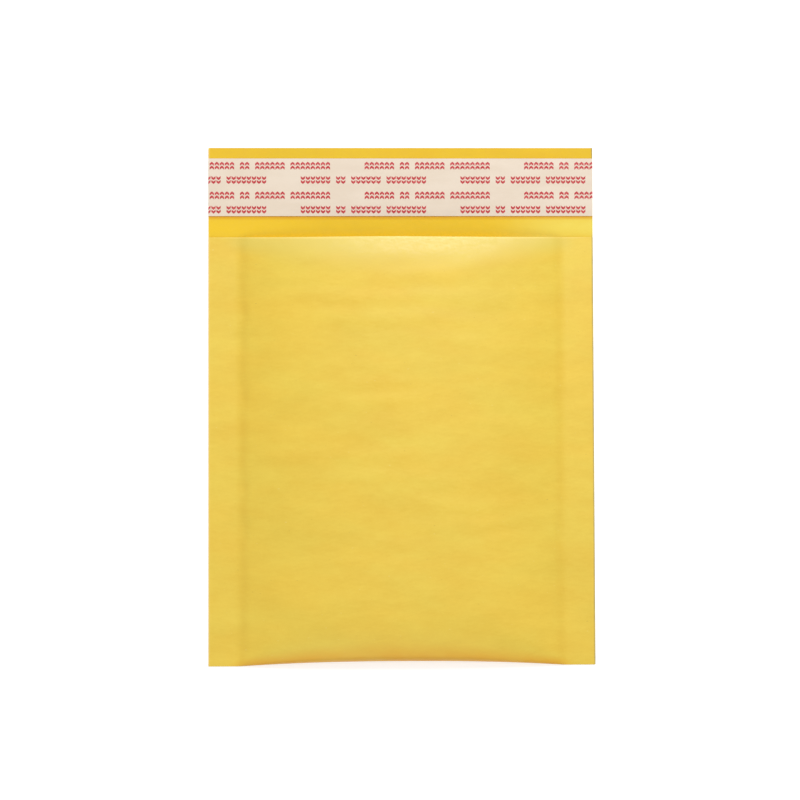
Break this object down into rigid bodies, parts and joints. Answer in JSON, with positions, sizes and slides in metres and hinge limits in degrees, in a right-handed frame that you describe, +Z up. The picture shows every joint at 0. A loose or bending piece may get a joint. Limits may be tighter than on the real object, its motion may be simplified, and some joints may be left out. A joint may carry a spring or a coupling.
{
  "type": "bubble mailer",
  "caption": "Padded kraft paper mailer, open and empty, with a flat pocket lined with bubble film, side seals, and a flap that carries an adhesive strip under a release liner.",
  "frame": {"origin": "on the floor plane, under the middle of the whole outline (body and open flap)", "axes": "+X across the mailer's width, +Y from the bottom fold towards the flap's end, +Z up, out of the front panel"},
  "size_m": [0.18, 0.2418, 0.0124],
  "materials": {
    "kraft_paper": "matt, faint fibres, golden yellow",
    "bubble_film": "clear to milky, glossy",
    "hot_melt": "smooth, sticky, pale amber",
    "release_paper": "satin cream paper with rows of small red marks"
  },
  "bodies": {
    "root": {"kraft_envelope": "kraft_paper", "bubble_lining": "bubble_film", "adhesive_strip": "hot_melt", "release_liner": "release_paper"}
  },
  "joints": []
}
